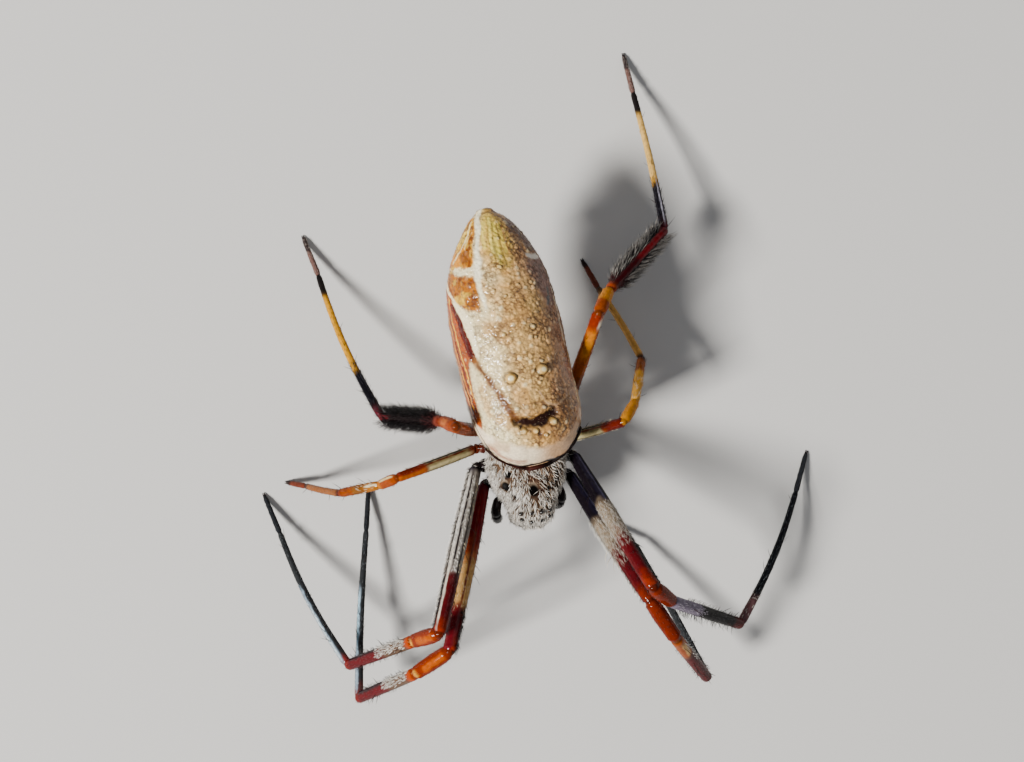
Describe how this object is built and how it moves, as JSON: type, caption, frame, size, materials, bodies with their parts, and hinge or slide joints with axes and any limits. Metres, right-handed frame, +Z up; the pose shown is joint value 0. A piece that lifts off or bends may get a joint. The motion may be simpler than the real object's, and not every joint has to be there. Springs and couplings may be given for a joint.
{
  "type": "golden silk orb weaver",
  "caption": "Still, life-size orb-weaving spider with a long raised abdomen and bent jointed legs, standing on its foot tips as a display model.",
  "frame": {"origin": "bottom centre of the bounding box, on the plane the feet stand on", "axes": "+Z up, +Y towards the tail, +X towards the spider's left side"},
  "size_m": [0.046, 0.0522, 0.0174],
  "materials": {
    "shield_coat": "short silvery hair over a dark shell",
    "abdomen_skin": "smooth cream skin with a soft shine",
    "joint_skin": "matt brown skin",
    "dark_shell": "glossy black shell",
    "eye_black": "polished black",
    "femur_shell": "satin red-brown shell with pale hair",
    "tibia_shell": "satin orange to dark red shell",
    "shin_shell": "satin slate shell"
  },
  "bodies": {
    "root": {"cephalothorax": "shield_coat", "abdomen": "abdomen_skin", "waist": "joint_skin", "spinnerets": "joint_skin", "jaw_right": "dark_shell", "palp_right": "dark_shell", "jaw_left": "dark_shell", "palp_left": "dark_shell", "eyes_brow": "eye_black", "eyes_right": "eye_black", "eyes_left": "eye_black", "right_leg_1_femur": "femur_shell", "right_leg_1_tibia": "tibia_shell", "right_leg_1_shin": "shin_shell", "right_leg_2_femur": "femur_shell", "right_leg_2_tibia": "tibia_shell", "right_leg_2_shin": "shin_shell", "right_leg_3_femur": "femur_shell", "right_leg_3_tibia": "tibia_shell", "right_leg_3_shin": "shin_shell", "right_leg_4_femur": "femur_shell", "right_leg_4_tibia": "tibia_shell", "right_leg_4_shin": "shin_shell", "left_leg_1_femur": "femur_shell", "left_leg_1_tibia": "tibia_shell", "left_leg_1_shin": "shin_shell", "left_leg_2_femur": "femur_shell", "left_leg_2_tibia": "tibia_shell", "left_leg_2_shin": "shin_shell", "left_leg_3_femur": "femur_shell", "left_leg_3_tibia": "tibia_shell", "left_leg_3_shin": "shin_shell", "left_leg_4_femur": "femur_shell", "left_leg_4_tibia": "tibia_shell", "left_leg_4_shin": "shin_shell"}
  },
  "joints": []
}
